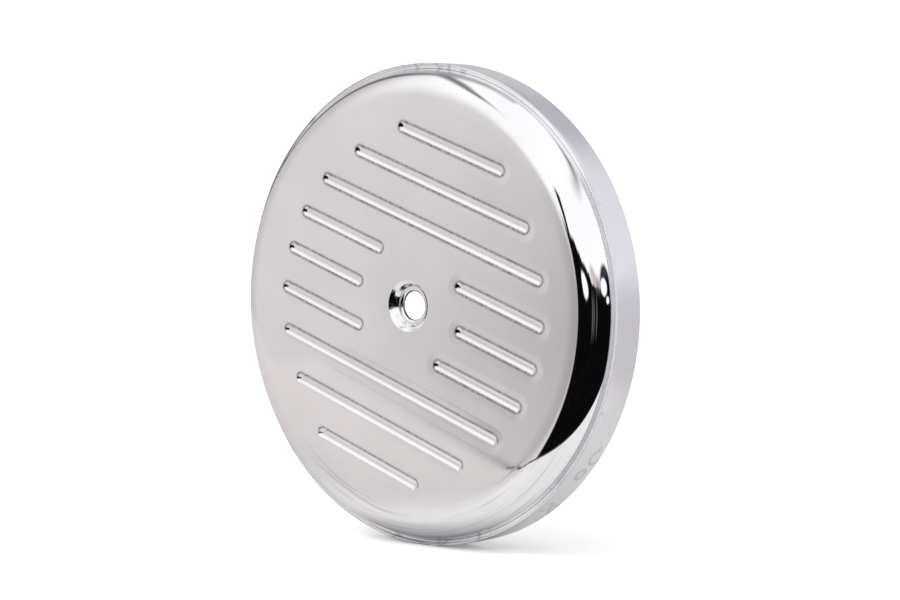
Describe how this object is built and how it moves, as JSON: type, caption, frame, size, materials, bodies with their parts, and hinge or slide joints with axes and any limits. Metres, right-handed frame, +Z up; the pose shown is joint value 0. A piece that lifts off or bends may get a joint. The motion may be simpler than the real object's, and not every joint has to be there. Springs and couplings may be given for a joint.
{
  "type": "motorcycle air filter",
  "caption": "Round motorcycle air cleaner: domed chrome cover with parallel milled grooves and an open centre screw hole, over a pleated ring element on a backing plate with a throat.",
  "frame": {"origin": "centre of the carburettor flange, on the back face of the carburettor gasket", "axes": "+Z up as installed, +X to the right seen from the front, cover facing -Y, +Y into the carburettor along the throat"},
  "size_m": [0.178, 0.0609, 0.178],
  "materials": {
    "chrome_cover": "bright chrome plate, lightly hazed on the flat face, with polishing marks and faint water spots",
    "foam_seal": "closed-cell foam rubber",
    "moulded_cap": "moulded urethane, satin",
    "pleated_media": "oiled cotton gauze, pleated",
    "screen_wire": "epoxy-coated aluminium wire mesh",
    "cast_aluminium": "die cast, fine grain",
    "turned_aluminium": "turned, fine rings",
    "gasket_fibre": "compressed fibre sheet",
    "zinc_steel": "bright zinc plate",
    "chrome_bolts": "polished chrome plate",
    "copper_washers": "annealed copper",
    "ring_rubber": "nitrile rubber"
  },
  "bodies": {
    "base": {"backing_plate": "cast_aluminium", "velocity_ring": "turned_aluminium", "carburettor_gasket": "gasket_fibre", "carburettor_screws": "zinc_steel", "carburettor_washers": "zinc_steel", "bridge": "zinc_steel", "bridge_screws": "zinc_steel", "bridge_washers": "zinc_steel", "cover_screw_nut": "zinc_steel", "breather_bolts": "chrome_bolts", "breather_washers": "copper_washers", "breather_spacers": "turned_aluminium", "breather_o_rings": "ring_rubber"},
    "element": {"element_media": "pleated_media", "element_front_cap": "moulded_cap", "element_rear_cap": "moulded_cap", "element_outer_screen": "screen_wire", "element_inner_screen": "screen_wire", "element_base_seal": "foam_seal"},
    "cover": {"cover": "chrome_cover", "cover_seal": "foam_seal"}
  },
  "joints": [
    {"name": "element_lift", "type": "slide", "parent": "base", "child": "element", "axis": [0, -1, 0], "range_m": [0, 0.05]},
    {"name": "cover_lift", "type": "slide", "parent": "element", "child": "cover", "axis": [0, -1, 0], "range_m": [0, 0.06]}
  ]
}
